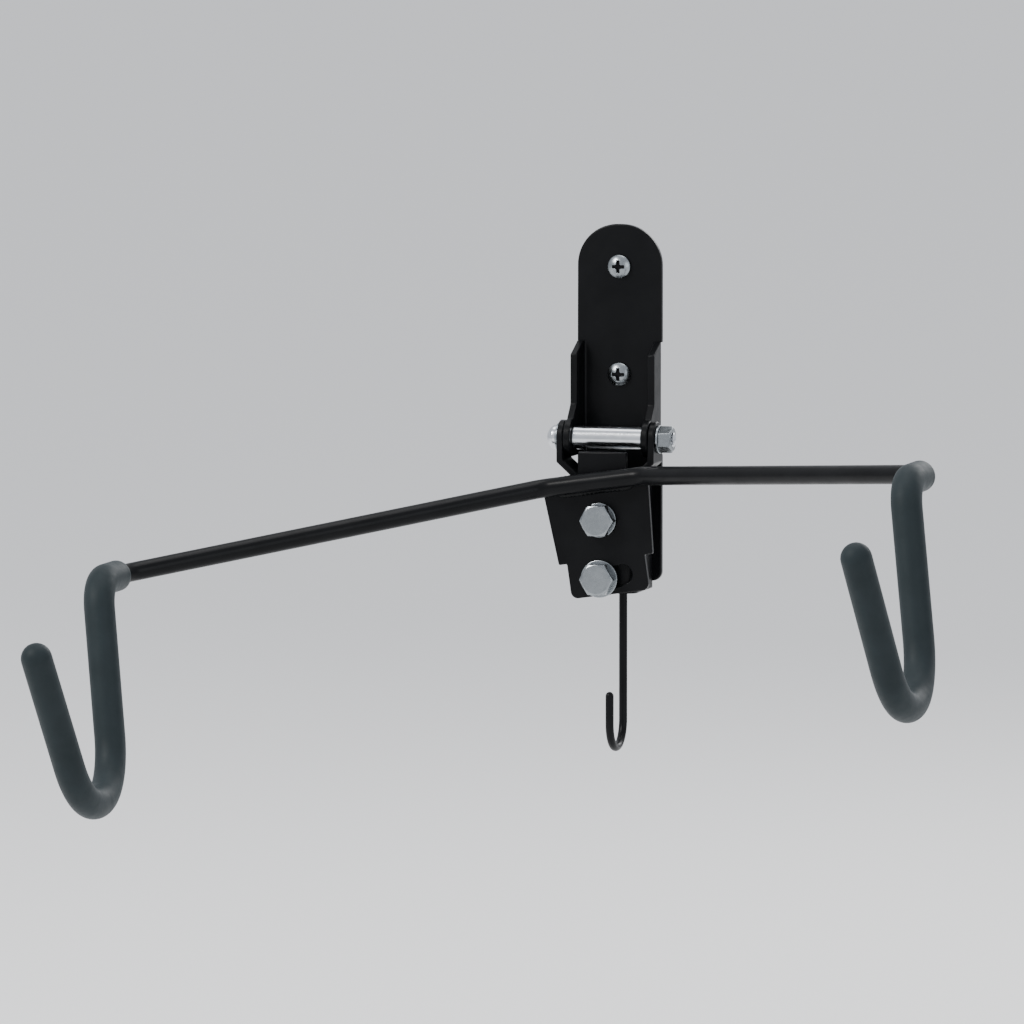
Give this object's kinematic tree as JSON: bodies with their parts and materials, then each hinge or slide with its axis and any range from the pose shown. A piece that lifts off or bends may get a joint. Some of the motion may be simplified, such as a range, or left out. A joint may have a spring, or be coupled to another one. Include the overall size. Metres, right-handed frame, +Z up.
{
  "type": "bicycle wall rack",
  "caption": "Fold-up wall rack that holds a bicycle by its top tube on a bent steel rod with rubber-sleeved hooks, with a wire hook for a helmet.",
  "frame": {"origin": "on the wall face, on the axis of the middle wall screw", "axes": "+Y into the wall along the screws, +Z up, +X to the right seen from the room"},
  "size_m": [0.3712, 0.3231, 0.2336],
  "materials": {
    "black_coat": "satin black powder coat",
    "zinc": "bright zinc plate",
    "rubber": "matt dark grey rubber"
  },
  "bodies": {
    "wall": {"wall_bracket": "black_coat", "wall_screw_top": "zinc", "wall_screw_middle": "zinc", "wall_screw_bottom": "zinc", "helmet_hook": "black_coat", "hinge_bolt": "zinc", "hinge_spacer": "zinc", "hinge_washer_left": "zinc", "hinge_washer_right": "zinc", "hinge_nut": "zinc"},
    "swing": {"swing_bracket": "black_coat", "pivot_bolt": "zinc", "pivot_washer": "zinc", "pivot_back_washer": "zinc", "pivot_nut": "zinc", "lock_bolt": "zinc", "lock_washer": "zinc", "lock_back_washer": "zinc", "lock_nut": "zinc"},
    "arms": {"arm_plate": "black_coat", "arm_rod": "black_coat", "weld_upper": "black_coat", "weld_lower": "black_coat", "sleeve_left": "rubber", "sleeve_right": "rubber"}
  },
  "joints": [
    {"name": "fold_up", "type": "hinge", "parent": "wall", "child": "swing", "pos_m": [0, -0.0195, -0.026], "axis": [-1, 0, 0], "range_deg": [0, 85]},
    {"name": "arm_tilt", "type": "hinge", "parent": "swing", "child": "arms", "pos_m": [0, -0.033, -0.0595], "axis": [0, -1, 0], "range_deg": [-23.25, 6.75]}
  ]
}
